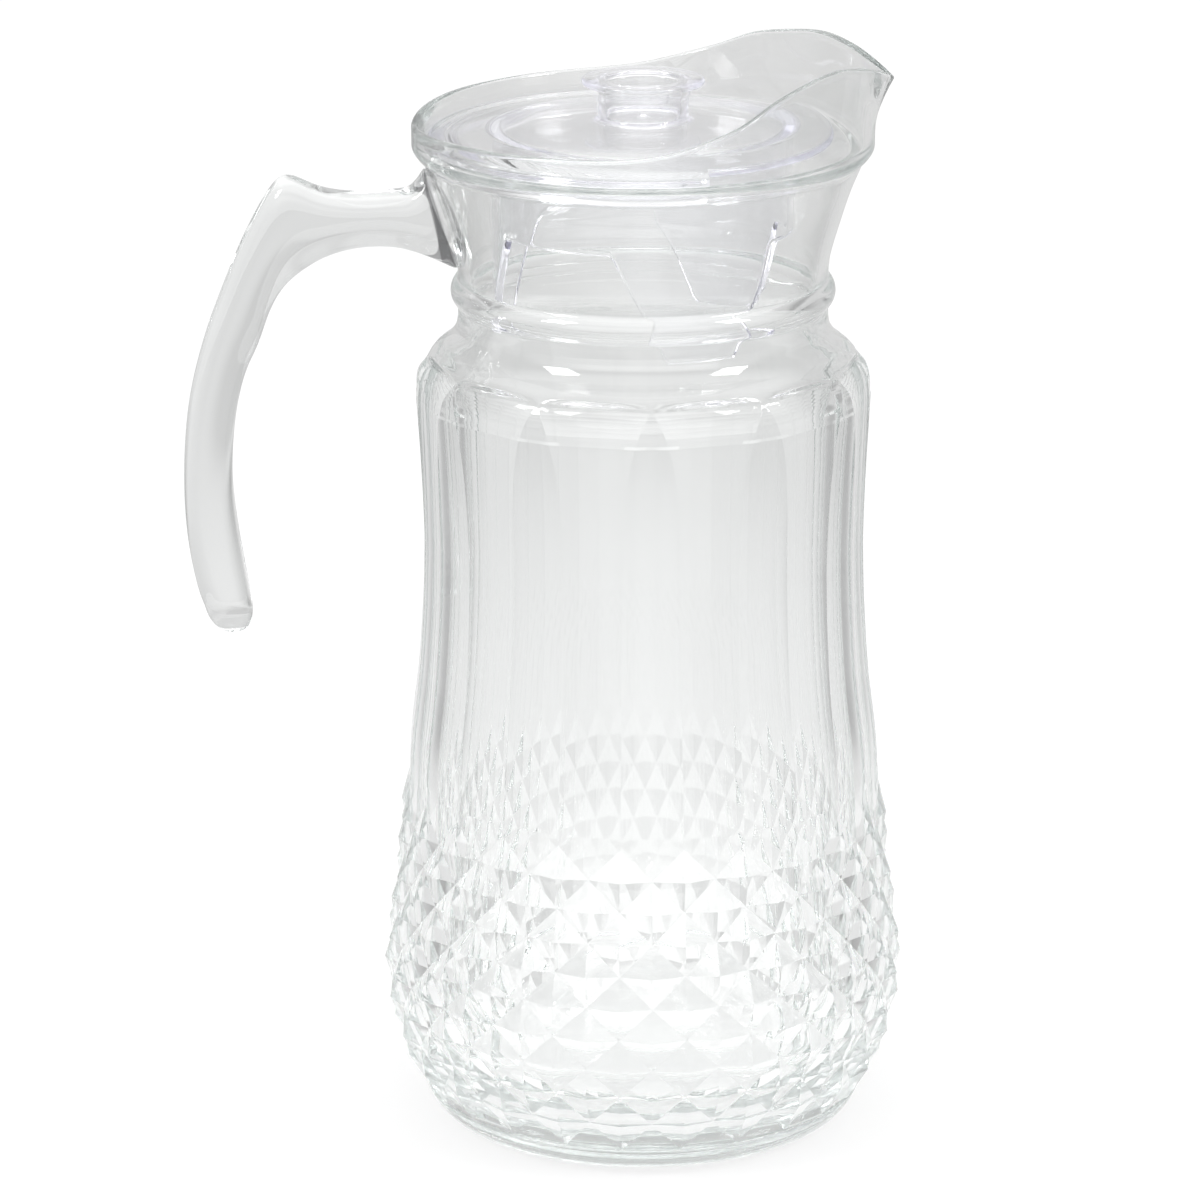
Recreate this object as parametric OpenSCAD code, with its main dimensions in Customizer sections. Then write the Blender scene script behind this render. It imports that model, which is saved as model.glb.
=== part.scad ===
// Pressed-glass pitcher with a pinched pouring lip, an open glass handle and a lift-off clear lid.
// The jug stands on z = 0 with its axis on Z. The spout points along +X and the handle along -X.

/* [Foot and bulb] */
// Radius of the flat face that the jug stands on
foot_r = 46; // [40:1:49]
// Height of the plain foot under the cut pattern
foot_h = 7.9; // [6:0.1:10]
// Radius of the bulb, measured at the bottom of the cuts
bulb_r = 64.8; // [62:0.1:70]
// Height of the diamond-cut bulb
bulb_h = 80.8; // [72:0.1:92]
// How far each diamond's point stands out of its four corners
diamond_h = 1.8; // [0.8:0.1:2.4]
// Number of diamonds round the bulb, a multiple of four
diamond_count = 24; // [20:4:28]

/* [Waist and shoulder] */
// Least radius of the waist, on the edges of its panels
waist_r = 55.7; // [53:0.1:58]
// Height from the top of the diamonds to the widest part of the shoulder
waist_h = 101.3; // [90:0.1:112]
// Radius of the shoulder
shoulder_r = 57.2; // [55:0.1:60]
// Height of the rounded shoulder, up to the neck
shoulder_h = 22; // [18:0.5:26]
// Length over which the pointed flutes open out below the shoulder
lancet_length = 11.3; // [8:0.1:16]

/* [Neck, collar and rim] */
// Radius of the neck
neck_r = 46.3; // [44.5:0.1:48]
// Height of the neck with its bead
neck_h = 10; // [9:0.5:12]
// How far the bead stands out of the neck
bead_out = 1.8; // [1:0.1:2.4]
// Height of the flared collar
collar_h = 28; // [25:0.5:32]
// Height of the rim band round the lid seat
band_h = 6.6; // [6:0.1:8]
// Thickness of the glass in the rim band, outside the recess for the lid
rim_wall = 2.5; // [2:0.1:3.2]
// Height of the rim above its band, beside the spout
rim_h = 4.6; // [4:0.1:6]

/* [Spout] */
// How far the two wings of the spout rise above the rim
wing_rise = 15.3; // [10:0.1:18]
// How far the spout's tip stands out of the rim
spout_out = 4.7; // [2:0.1:8]
// Half of the angle that the spout takes up
spout_span = 70; // [62:1:74]
// Thickness of the glass along the lip
lip_t = 1.9; // [1.6:0.1:2.2]

/* [Glass walls] */
// Thickness of the bulb's wall below the cuts
bulb_wall = 4.4; // [3.4:0.1:5]
// Thickness of the waist's wall on its edges
waist_wall = 4.2; // [3.6:0.1:5]
// Thickness of the wall in the neck and the collar
neck_wall = 3.1; // [2.6:0.1:3.6]
// Thickness of the bottom
floor_t = 11; // [8:0.5:14]

/* [Lid seat] */
// Radius of the recess that the lid lies in
seat_r = 55; // [53:0.1:57]
// Width of the ledge that carries the lid
ledge_w = 3.3; // [3:0.1:3.8]
// Depth of the recess below the top of the rim band
seat_depth = 3.2; // [2.8:0.1:3.4]

/* [Handle] */
// Reach of the handle's outer face from the jug's axis
handle_reach = 115.5; // [105:0.5:125]
// Height of the handle from its free tip to its thumb rest
handle_h = 119; // [100:0.5:130]
// Width of the handle across, where it joins the collar
handle_w = 16; // [13:0.5:17]
// Width of the handle across, at its free tip
tip_w = 12.5; // [10:0.5:15]
// Height of the handle's joint on the collar
joint_h = 24.2; // [20:0.1:25]
// How far the glass of the joint pad stands out of the collar
pad_out = 0.8; // [0.5:0.1:1.4]

/* [Lid] */
// Gap all round between the lid and its recess
lid_gap = 1.6; // [1.4:0.1:1.8]
// Thickness of the lid's edge
lid_edge_t = 2.8; // [2.2:0.1:3.4]
// Thickness of the lid's plate and skirt
lid_t = 1.8; // [1.4:0.1:2.2]
// Rise of the lid's plate from its edge to its knob
lid_rise = 3.8; // [2:0.1:5]
// Gap all round between the lid's skirt and the inside of the neck
skirt_gap = 5.9; // [4:0.1:8]
// Depth of the skirt below the lid's seat
skirt_depth = 19.6; // [15:0.1:24]
// Length of the legs below the skirt
leg_length = 27.9; // [20:0.1:30]
// Number of legs
leg_count = 3; // [3:1:4]
// Angle that a leg takes up where it leaves the skirt
leg_top_angle = 69; // [60:1:76]
// Angle that a leg takes up at its foot
leg_foot_angle = 27; // [20:1:34]
// Turn of the first leg from the front
leg_turn = 20.5; // [0:0.5:60]
// How far the lid's edge is cut back behind the spout, to pour
pour_gap_w = 5.8; // [5.2:0.1:7.4]
// Radius of the knob's stem
knob_r = 11.3; // [10:0.1:12.5]
// Height of the knob above the plate
knob_h = 10; // [8:0.1:13]
// Radius of the finger flange round the knob's top
knob_flange_r = 15.3; // [14:0.1:17]

/* [Hidden] */

// Fine steps for the true curves
round_steps = 96;
small_steps = 48;
// Length by which a cutting or joining body runs past a face
overrun = 1;
// Step that keeps the free-form lip just inside the turned band under it
hair = 0.05;
// Height by which the foot runs up into the cut pattern
foot_overlap = 0.2;
// Gap between two faces that rest on each other in use
seat_gap = 0.1;

glass_tint = [0.84, 0.89, 0.88, 0.4];
plastic_tint = [0.86, 0.87, 0.95, 0.5];

// Heights of the levels, from the table up
bulb_z = foot_h;
waist_z = bulb_z + bulb_h;
shoulder_z = waist_z + waist_h;
neck_z = shoulder_z + shoulder_h;
collar_z = neck_z + neck_h;
band_z = collar_z + collar_h;
band_top_z = band_z + band_h;
seat_z = band_top_z - seat_depth;
rim_z = band_top_z + rim_h;

// Radii that follow from the recess for the lid
rim_r = seat_r + rim_wall;
collar_bore_r = seat_r - ledge_w;
collar_r = collar_bore_r + neck_wall;
neck_bore_r = neck_r - neck_wall;

// A smooth curve through knots [place, value], read at any place
function knot_slope(k, i) =
    let (a = max(i - 1, 0), b = min(i + 1, len(k) - 1))
    (k[b][1] - k[a][1]) / (k[b][0] - k[a][0]);
function knot_before(k, x, i = 0) =
    i >= len(k) - 2 || x < k[i + 1][0] ? i : knot_before(k, x, i + 1);
function curve_at(k, x) =
    let (
        i = knot_before(k, x),
        w = k[i + 1][0] - k[i][0],
        t = (x - k[i][0]) / w,
        a = k[i][1],
        b = k[i + 1][1],
        m = knot_slope(k, i) * w,
        n = knot_slope(k, i + 1) * w
    )
    a * (2 * t * t * t - 3 * t * t + 1) + m * (t * t * t - 2 * t * t + t)
    + b * (3 * t * t - 2 * t * t * t) + n * (t * t * t - t * t);

// Points along an arc, from one angle to another
function arc_points(centre, r, from, to, steps) =
    [for (i = [0:steps]) let (a = from + (to - from) * i / steps) centre + r * [cos(a), sin(a)]];

// Places and radii of the bulb's outline, as shares of its height and of its radius
bulb_outline_shares = [[0, 0.866], [0.2, 0.963], [0.4, 1], [0.6, 0.972], [0.8, 0.942], [1, 0.93]];
function bulb_radius(share) = bulb_r * curve_at(bulb_outline_shares, share);

// Flare of the waist above its least radius: towards the bulb first, then towards the shoulder
waist_low_share = 0.62;
waist_high_power = 1.6;
low_flare_shares = [[0, 1], [0.2, 0.83], [0.48, 0.37], [0.78, 0.09], [1, 0]];
function waist_radius(share) =
    share < waist_low_share
    ? waist_r + (bulb_radius(1) - waist_r) * curve_at(low_flare_shares, share / waist_low_share)
    : waist_r + (shoulder_r - waist_r) * pow((share - waist_low_share) / (1 - waist_low_share),
        waist_high_power);

// The shoulder: a round corner, then a hollow curve into the neck
shoulder_drop = shoulder_r - neck_r;
shoulder_outline_shares =
    [[0, 0], [0.2, 0.02], [0.34, 0.12], [0.5, 0.42], [0.62, 0.72], [0.76, 0.93], [0.9, 0.995], [1, 1]];
function shoulder_radius(share) = shoulder_r - shoulder_drop * curve_at(shoulder_outline_shares, share);

// The collar: nearly straight, with a soft start above the bead
collar_outline_shares = [[0, 0], [0.15, 0.06], [0.45, 0.34], [0.75, 0.66], [1, 1]];
function collar_radius(share) = neck_r + (collar_r - neck_r) * curve_at(collar_outline_shares, share);

// The cut pattern: a closed skin of rings, each a list of points from the foot to the shoulder
half_step = 180 / diamond_count;
row_count = 10;
row_h = bulb_h / row_count;
flute_rows = 12;
lancet_share = 0.42;
lancet_point = 0.4;
lancet_z = shoulder_z + shoulder_h * lancet_share;
pattern_top_z = neck_z;
pattern_flare_share = 0.2;
pattern_flare = shoulder_r * pattern_flare_share;

function ring_point(r, a, z) = [r * cos(a), r * sin(a), z];

// A row of corners at half the pitch from the last, with a raised point midway between two corners
function diamond_row(i) =
    let (r = bulb_radius(i / row_count), z = bulb_z + i * row_h, odd = (row_count - i) % 2)
    [for (j = [0:2 * diamond_count - 1])
        ring_point((j + odd) % 2 == 1 ? r : r + diamond_h, j * half_step, z)];

// The rows at the foot and at the waist hold corners alone
function corner_row(r, z) = [for (j = [0:diamond_count - 1]) ring_point(r, (2 * j + 1) * half_step, z)];

// A waist row: every second panel narrows to a point at the shoulder
function lancet_half(z) = max(half_step * (1 - exp((z - lancet_z) / lancet_length)), lancet_point);
function flute_row(r, z) =
    [for (j = [0:diamond_count - 1])
        let (side = j % 2 == 0 ? 1 : -1, middle = (j % 2 == 0 ? j : j + 1) * 2 * half_step)
        ring_point(r, middle + side * lancet_half(z), z)];
// Over the shoulder the edges sink into the turned surface below the points and leave it above them
edge_rise = 0.5;
function flute_radius(z) =
    z <= shoulder_z ? waist_radius((z - waist_z) / waist_h)
    : shoulder_radius((z - shoulder_z) / shoulder_h)
        + edge_rise * pow((z - shoulder_z) / (lancet_z - shoulder_z), 6);
flute_levels = concat(
    [for (i = [0:flute_rows]) waist_z + (shoulder_z - waist_z) * i / flute_rows],
    [for (i = [1:4]) shoulder_z + (lancet_z - shoulder_z) * i / 4]);

pattern_points = concat(
    corner_row(bulb_radius(0), bulb_z),
    [for (i = [1:row_count - 1]) each diamond_row(i)],
    [for (z = flute_levels) each flute_row(flute_radius(z), z)],
    flute_row(flute_radius(lancet_z) + pattern_flare, pattern_top_z));

// Where the rings start in the list of points
n1 = diamond_count;
n2 = 2 * diamond_count;
function row_start(i) = i == 0 ? 0 : n1 + (i - 1) * n2;
flute_start = row_start(row_count);
flute_rings = len(flute_levels) + 1;
function flute_ring_start(i) = flute_start + i * n1;

// A foot or waist ring has corner j at place 2j + 1 of a full row
function fan_up(low, high) =
    [for (j = [0:n1 - 1])
        let (a = low + j, b = low + (j + 1) % n1, l = high + 2 * j, m = high + 2 * j + 1,
             h = high + (2 * j + 2) % n2)
        each [[a, l, m], [a, m, h], [a, h, b]]];
function fan_down(low, high) =
    [for (j = [0:n1 - 1])
        let (a = high + j, b = high + (j + 1) % n1, l = low + 2 * j, m = low + 2 * j + 1,
             h = low + (2 * j + 2) % n2)
        each [[a, m, l], [a, h, m], [a, b, h]]];
// Between two full rows each cell is split along the valley that joins two corners
function diamond_band(i) =
    [for (j = [0:n2 - 1])
        let (k = (j + 1) % n2, low = row_start(i), high = row_start(i + 1),
             valley_up = (j + (row_count - i) % 2) % 2 == 1)
        each valley_up
            ? [[low + j, high + k, low + k], [low + j, high + j, high + k]]
            : [[low + j, high + j, low + k], [low + k, high + j, high + k]]];
function flute_band(low, high) =
    [for (j = [0:n1 - 1]) let (k = (j + 1) % n1)
        each [[low + j, high + k, low + k], [low + j, high + j, high + k]]];

pattern_faces = concat(
    [[for (j = [0:n1 - 1]) j]],
    fan_up(0, row_start(1)),
    [for (i = [1:row_count - 2]) each diamond_band(i)],
    fan_down(row_start(row_count - 1), flute_start),
    [for (i = [0:flute_rings - 2]) each flute_band(flute_ring_start(i), flute_ring_start(i + 1))],
    [[for (j = [n1 - 1:-1:0]) flute_ring_start(flute_rings - 1) + j]]);

module cut_pattern() {
    polyhedron(points = pattern_points, faces = pattern_faces, convexity = 10);
}

// A turned body that rounds the shoulder off above the flutes
shoulder_steps = 18;
module shoulder_turning() {
    clear_r = bulb_r + 2 * diamond_h + overrun;
    rotate_extrude($fn = round_steps)
        polygon(concat(
            [[0, bulb_z - overrun], [clear_r, bulb_z - overrun], [clear_r, shoulder_z - overrun]],
            [for (i = [0:shoulder_steps])
                let (s = i / shoulder_steps)
                [shoulder_radius(s) + edge_rise * pow(1 - s, 2), shoulder_z + shoulder_h * s]],
            [[0, neck_z]]));
}

// The plain foot, rounded from its flat face up to the first cuts
foot_steps = 8;
foot_arc_share = 0.9;
module foot() {
    top_r = bulb_radius(0) + hair;
    side = top_r - foot_r;
    rotate_extrude($fn = round_steps)
        polygon(concat(
            [[0, 0], [foot_r, 0]],
            [for (i = [1:foot_steps])
                let (a = 90 * i / foot_steps)
                [foot_r + side * sin(a * foot_arc_share) / sin(90 * foot_arc_share), foot_h * (1 - cos(a))]],
            [[top_r, foot_h + foot_overlap], [0, foot_h + foot_overlap]]));
}

// Neck, bead, flared collar and the band round the lid seat
collar_steps = 12;
band_steps = 4;
band_curve_share = 0.6;
bead_size_share = 0.4;
bead_place_share = 0.46;
module neck_and_collar() {
    bead_r = neck_h * bead_size_share;
    bead_z = neck_z + neck_h * bead_place_share;
    curve_h = band_h * band_curve_share;
    rotate_extrude($fn = round_steps) {
        polygon(concat(
            [[0, neck_z], [neck_r, neck_z]],
            [for (i = [0:collar_steps])
                [collar_radius(i / collar_steps), collar_z + collar_h * i / collar_steps]],
            [for (i = [1:band_steps])
                [collar_r + (rim_r - collar_r) * sin(90 * i / band_steps), band_z + curve_h * i / band_steps]],
            [[rim_r, band_top_z], [seat_r, band_top_z], [seat_r, seat_z], [0, seat_z]]));
        intersection() {
            translate([neck_r + bead_out - bead_r, bead_z]) circle(r = bead_r, $fn = small_steps);
            translate([0, bead_z - bead_r]) square([neck_r + 2 * bead_out, 2 * bead_r]);
        }
    }
}

// The lip: its height and its outline seen from above, at angles from the spout
lip_height_shares =
    [[0, 0.6], [8, 0.784], [16, 0.908], [28, 1], [42, 0.915], [56, 0.745], [70, 0.41], [90, 0.07],
     [120, -0.01], [150, -0.05], [180, -0.15]];
tip_share = 1 + spout_out / rim_r;
lip_plan_shares =
    [[0, tip_share], [8, 1.019], [16, 0.977], [28, 0.932], [42, 0.913], [56, 0.943], [70, 0.991],
     [90, 1], [180, 1]];
function from_spout(a) = abs(a > 180 ? a - 360 : a);
// The outlines are given for a spout that ends at this angle
drawn_span = 70;
function spout_angle(a) = from_spout(a) * (from_spout(a) < spout_span ? drawn_span / spout_span : 1);
function lip_z(a) = rim_z + wing_rise * curve_at(lip_height_shares, spout_angle(a));
function lip_r(a) = rim_r * curve_at(lip_plan_shares, spout_angle(a));

spout_steps = 20;
rim_steps = 30;
lip_angles = concat(
    [for (i = [-spout_steps:spout_steps]) spout_span * i / spout_steps],
    [for (i = [1:rim_steps - 1]) spout_span + (360 - 2 * spout_span) * i / rim_steps]);
lip_side_shares = [0, 0.2, 0.4, 0.6, 0.8, 0.95];
lip_lean = 1.5;
lip_round_steps = 4;

// One slice through the lip: up the outside, round the top, down the inside, and a root in the band
function lip_slice(a) =
    let (
        low = band_top_z - hair,
        high = lip_z(a) - lip_t / 2,
        outer = rim_r - hair,
        out_move = lip_r(a) - rim_r,
        in_move = lip_r(a) - lip_t - seat_r
    )
    concat(
        [for (s = lip_side_shares)
            ring_point(outer + out_move * pow(s, lip_lean), a, low + (high - low) * s)],
        [for (i = [0:lip_round_steps])
            let (t = 180 * i / lip_round_steps)
            ring_point(lip_r(a) - lip_t / 2 + lip_t / 2 * cos(t) - hair, a, high + lip_t / 2 * sin(t))],
        [for (i = [len(lip_side_shares) - 1:-1:0])
            let (s = lip_side_shares[i])
            ring_point(seat_r + hair + in_move * pow(s, lip_lean), a, low + (high - low) * s)],
        [ring_point(seat_r + rim_wall / 3, a, low - overrun),
         ring_point(rim_r - rim_wall / 3, a, low - overrun)]);

lip_points = [for (a = lip_angles) each lip_slice(a)];
lip_ring = 2 * len(lip_side_shares) + lip_round_steps + 3;
lip_columns = len(lip_angles);
module lip() {
    polyhedron(
        points = lip_points,
        faces = [for (i = [0:lip_columns - 1], j = [0:lip_ring - 1])
            let (n = (i + 1) % lip_columns, k = (j + 1) % lip_ring)
            each [[i * lip_ring + j, i * lip_ring + k, n * lip_ring + k],
                  [i * lip_ring + j, n * lip_ring + k, n * lip_ring + j]]],
        convexity = 10);
}

// The joint of the handle: a flat seat on the collar, leaning as the collar does
joint_drop_share = 0.54;
joint_middle_z = band_z - collar_h * joint_drop_share;
joint_low_z = joint_middle_z - joint_h / 2;
joint_high_z = joint_middle_z + joint_h / 2;
function collar_at(z) = collar_radius(min(max((z - collar_z) / collar_h, 0), 1));
joint_low = [-collar_at(joint_low_z) - pad_out, joint_low_z];
joint_high = [-collar_at(joint_high_z) - pad_out, joint_high_z];
joint_length = norm(joint_high - joint_low);
joint_lean = atan((joint_low[0] - joint_high[0]) / (joint_high_z - joint_low_z));
joint_middle = (joint_low + joint_high) / 2;

module handle_pad() {
    margin = pad_out / 2;
    wide = handle_w / 2 + margin;
    long = joint_length / 2 + margin;
    translate([joint_middle[0], 0, joint_middle[1]])
        rotate([0, 90 - joint_lean, 0])
            linear_extrude(height = neck_wall + pad_out) {
                square([2 * (long - wide), 2 * wide], center = true);
                translate([long - wide, 0]) circle(r = wide, $fn = small_steps);
                translate([wide - long, 0]) circle(r = wide, $fn = small_steps);
            }
}

// The hollow: smooth inside, from a flat floor to the ledge that carries the lid
hollow_steps = 10;
floor_corner_share = 0.28;
module hollow() {
    corner_r = bulb_h * floor_corner_share;
    corner_z = floor_t + corner_r;
    corner_share = (corner_z - bulb_z) / bulb_h;
    wall_r = bulb_radius(corner_share) - bulb_wall;
    rotate_extrude($fn = round_steps)
        polygon(concat(
            [[0, floor_t]],
            arc_points([wall_r - corner_r, corner_z], corner_r, -90, -90 / hollow_steps, hollow_steps - 1),
            [for (i = [0:hollow_steps])
                let (s = corner_share + (1 - corner_share) * i / hollow_steps)
                [bulb_radius(s) - bulb_wall - (waist_wall - bulb_wall) * (s - corner_share)
                    / (1 - corner_share), bulb_z + bulb_h * s]],
            [for (i = [1:hollow_steps])
                [waist_radius(i / hollow_steps) - waist_wall, waist_z + waist_h * i / hollow_steps]],
            [for (i = [1:hollow_steps])
                let (s = i / hollow_steps)
                [shoulder_radius(s) - waist_wall + (waist_wall - neck_wall) * s,
                 shoulder_z + (shoulder_h - waist_wall * (1 - s)) * s]],
            [for (i = [0:hollow_steps])
                let (s = i / hollow_steps)
                [neck_bore_r + (collar_bore_r - neck_bore_r) * curve_at(collar_outline_shares, s),
                 collar_z + (seat_z - collar_z) * s]],
            [[collar_bore_r, seat_z + overrun], [0, seat_z + overrun]]));
}

// One piece of pressed glass
module jug_body() {
    color(glass_tint)
        difference() {
            union() {
                foot();
                intersection() {
                    cut_pattern();
                    shoulder_turning();
                }
                neck_and_collar();
                handle_pad();
                lip();
            }
            hollow();
        }
}

// Handle: pairs of outline points across it, outer side and inner side, from the joint to the tip
// Each is given as shares of the way out from the joint and of the handle's height
arm_length = handle_reach + joint_middle[0];
tip_z = joint_high_z - handle_h;
handle_pair_shares = [
    [[0.11, 0.964], [0.06, 0.826]],
    [[0.2, 0.956], [0.16, 0.841]],
    [[0.33, 0.953], [0.29, 0.842]],
    [[0.46, 0.965], [0.42, 0.825]],
    [[0.585, 0.992], [0.52, 0.795]],
    [[0.66, 0.955], [0.6, 0.757]],
    [[0.755, 0.86], [0.655, 0.705]],
    [[0.845, 0.744], [0.7, 0.636]],
    [[0.915, 0.64], [0.755, 0.57]],
    [[0.975, 0.51], [0.795, 0.475]],
    [[1, 0.36], [0.812, 0.35]],
    [[0.993, 0.225], [0.793, 0.235]],
    [[0.96, 0.115], [0.76, 0.12]],
    [[0.928, 0.06], [0.746, 0.067]]
];
function handle_place(share) = [joint_middle[0] - arm_length * share[0], tip_z + handle_h * share[1]];
handle_pairs = concat(
    [[joint_high, joint_low]],
    [for (p = handle_pair_shares) [handle_place(p[0]), handle_place(p[1])]]);
pair_count = len(handle_pairs);
function side_knots(side, axis) = [for (i = [0:pair_count - 1]) [i, handle_pairs[i][side][axis]]];
outer_x = side_knots(0, 0);
outer_z = side_knots(0, 1);
inner_x = side_knots(1, 0);
inner_z = side_knots(1, 1);
function outer_at(u) = [curve_at(outer_x, u), curve_at(outer_z, u)];
function inner_at(u) = [curve_at(inner_x, u), curve_at(inner_z, u)];

stations_per_pair = 2;
section_sides = 20;
section_squareness = 0.8;
tip_steps = 5;
tip_blunt_share = 0.6;
// A rounded section across the handle, between its outer and inner side
function rounded(v) = sign(v) * pow(abs(v), section_squareness);
function handle_section(outer, inner, width) =
    let (c = (outer + inner) / 2, half = (outer - inner) / 2)
    [for (i = [0:section_sides - 1])
        let (a = 360 * i / section_sides, p = c + half * rounded(cos(a)))
        [p[0], width / 2 * rounded(sin(a)), p[1]]];
last_pair = pair_count - 1;
station_count = stations_per_pair * last_pair;
function handle_width(u) = handle_w + (tip_w - handle_w) * u / last_pair;
tip_outer = outer_at(last_pair);
tip_inner = inner_at(last_pair);
tip_middle = (tip_outer + tip_inner) / 2;
tip_length = tip_middle[1] - tip_z;
tip_lean = (tip_middle - (outer_at(last_pair - 1) + inner_at(last_pair - 1)) / 2);
tip_way = tip_lean / norm(tip_lean);
handle_sections = concat(
    [for (i = [0:station_count])
        let (u = i / stations_per_pair) handle_section(outer_at(u), inner_at(u), handle_width(u))],
    [for (i = [1:tip_steps])
        let (a = 90 * i / (tip_steps + tip_blunt_share), c = tip_middle + tip_way * tip_length * sin(a))
        handle_section(c + (tip_outer - tip_middle) * cos(a), c + (tip_inner - tip_middle) * cos(a),
            tip_w * cos(a))]);
handle_rings = len(handle_sections);

// Pressed in one piece and fused to the collar while hot
module handle() {
    color(glass_tint)
        polyhedron(
            points = [for (s = handle_sections) each s],
            faces = concat(
                [[for (j = [0:section_sides - 1]) j]],
                [for (i = [0:handle_rings - 2], j = [0:section_sides - 1])
                    let (k = (j + 1) % section_sides, a = i * section_sides, b = a + section_sides)
                    each [[a + j, b + k, a + k], [a + j, b + j, b + k]]],
                [[for (j = [section_sides - 1:-1:0]) (handle_rings - 1) * section_sides + j]]),
            convexity = 10);
}

// Lid levels, from its seat up
lid_z = seat_z + seat_gap;
lid_r = seat_r - lid_gap;
lid_top_z = lid_z + lid_edge_t;
plate_z = lid_top_z + lid_rise;
skirt_r = neck_bore_r - skirt_gap;
pour_gap_r = lid_r - pour_gap_w;
plug_r = collar_bore_r - lid_gap;
plug_depth = lid_edge_t;
lid_corner_share = 0.25;

// The plate: a flat land at its edge, a short plug under it and a low dome up to the knob
// Its edge is cut back behind the spout, so that it pours and lifts out between the spout's wings
pour_gap_margin = 4;
pour_gap_half = spout_span + pour_gap_margin;
module pour_gap() {
    far = seat_r / cos(pour_gap_half / 2);
    translate([0, 0, lid_z - plug_depth - overrun])
        linear_extrude(height = plug_depth + lid_edge_t + lid_rise + 2 * overrun)
            difference() {
                polygon([
                    [0, 0], far * [cos(pour_gap_half), -sin(pour_gap_half)],
                    far * [1, -sin(pour_gap_half / 2)], far * [1, sin(pour_gap_half / 2)],
                    far * [cos(pour_gap_half), sin(pour_gap_half)]]);
                circle(r = pour_gap_r, $fn = round_steps);
            }
}
plate_steps = 8;
function dome_z(r) =
    let (s = min(max((plug_r - lid_t - r) / (plug_r - lid_t - knob_r), 0), 1))
    lid_top_z + lid_rise * sin(90 * s);
module lid_plate() {
    edge = lid_edge_t * lid_corner_share;
    dome_r = plug_r - lid_t;
    rotate_extrude($fn = round_steps)
        polygon(concat(
            [for (i = [0:plate_steps])
                let (r = dome_r * i / plate_steps) [r, dome_z(max(r, knob_r)) - lid_t]],
            [[dome_r, lid_z - plug_depth], [plug_r, lid_z - plug_depth], [plug_r, lid_z],
             [lid_r - edge, lid_z], [lid_r, lid_z + edge], [lid_r, lid_top_z - edge],
             [lid_r - edge, lid_top_z]],
            [for (i = [plate_steps:-1:0])
                let (r = dome_r * i / plate_steps) [r, dome_z(max(r, knob_r))]]));
}

// The skirt with its legs: one ring, cut away between the legs
skirt_z = lid_z - skirt_depth;
leg_z = skirt_z - leg_length;
window_top = skirt_r * sin((360 / leg_count - leg_top_angle) / 2);
window_foot = skirt_r * sin((360 / leg_count - leg_foot_angle) / 2);
module leg_window() {
    slope = (window_foot - window_top) / leg_length;
    translate([skirt_r / 3, 0, 0])
        rotate([90, 0, 90])
            linear_extrude(height = skirt_r)
                polygon([
                    [-window_top, skirt_z], [window_top, skirt_z],
                    [window_foot + slope * overrun, leg_z - overrun],
                    [-window_foot - slope * overrun, leg_z - overrun]]);
}
module lid_skirt() {
    difference() {
        translate([0, 0, leg_z])
            cylinder(r = skirt_r, h = dome_z(skirt_r) - lid_t / 2 - leg_z, $fn = round_steps);
        translate([0, 0, leg_z - overrun])
            cylinder(r = skirt_r - lid_t, h = plate_z - leg_z + 2 * overrun, $fn = round_steps);
        for (i = [0:leg_count - 1])
            rotate([0, 0, leg_turn - 90 + (i + 0.5) * 360 / leg_count])
                leg_window();
    }
}

// The knob: an open cup with a finger flange round its top
gate_r = 0.8;
gate_h = 0.5;
knob_flange_share = 0.16;
module knob() {
    flange_t = knob_h * knob_flange_share;
    round_r = flange_t / 2;
    top_z = plate_z + knob_h;
    rotate_extrude($fn = round_steps)
        difference() {
            union() {
                translate([0, plate_z - lid_t / 2]) square([knob_r, knob_h + lid_t / 2]);
                translate([0, top_z - flange_t]) square([knob_flange_r - round_r, flange_t]);
                translate([knob_flange_r - round_r, top_z - round_r])
                    circle(r = round_r, $fn = small_steps);
            }
            translate([-overrun, plate_z]) square([knob_r - lid_t + overrun, knob_h + overrun]);
        }
    translate([0, 0, plate_z - lid_t / 2]) cylinder(r = gate_r, h = gate_h + lid_t / 2, $fn = small_steps);
}

// One moulding of clear plastic
module lid() {
    color(plastic_tint) {
        difference() {
            lid_plate();
            pour_gap();
        }
        lid_skirt();
        knob();
    }
}

jug_body();
handle();
lid();
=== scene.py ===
"""Glass pitcher with a clear lid, dressed for a photograph on a plain white table."""
import math

import bpy
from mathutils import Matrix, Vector


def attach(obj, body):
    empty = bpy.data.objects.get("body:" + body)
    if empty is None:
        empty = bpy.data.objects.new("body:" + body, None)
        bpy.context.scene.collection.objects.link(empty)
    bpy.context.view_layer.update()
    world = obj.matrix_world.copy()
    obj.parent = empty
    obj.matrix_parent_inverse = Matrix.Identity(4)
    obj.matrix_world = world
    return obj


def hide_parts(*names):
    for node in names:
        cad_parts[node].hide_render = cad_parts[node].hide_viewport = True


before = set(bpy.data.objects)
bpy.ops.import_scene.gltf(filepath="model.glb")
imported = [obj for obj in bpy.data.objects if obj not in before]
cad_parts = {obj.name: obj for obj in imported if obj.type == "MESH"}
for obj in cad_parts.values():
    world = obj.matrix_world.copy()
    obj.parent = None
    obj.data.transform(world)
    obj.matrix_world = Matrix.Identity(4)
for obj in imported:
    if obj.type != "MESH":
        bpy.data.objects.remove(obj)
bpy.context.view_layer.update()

MM = 0.001


# ---- Camera, as the photographer stood -------------------------------------

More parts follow.
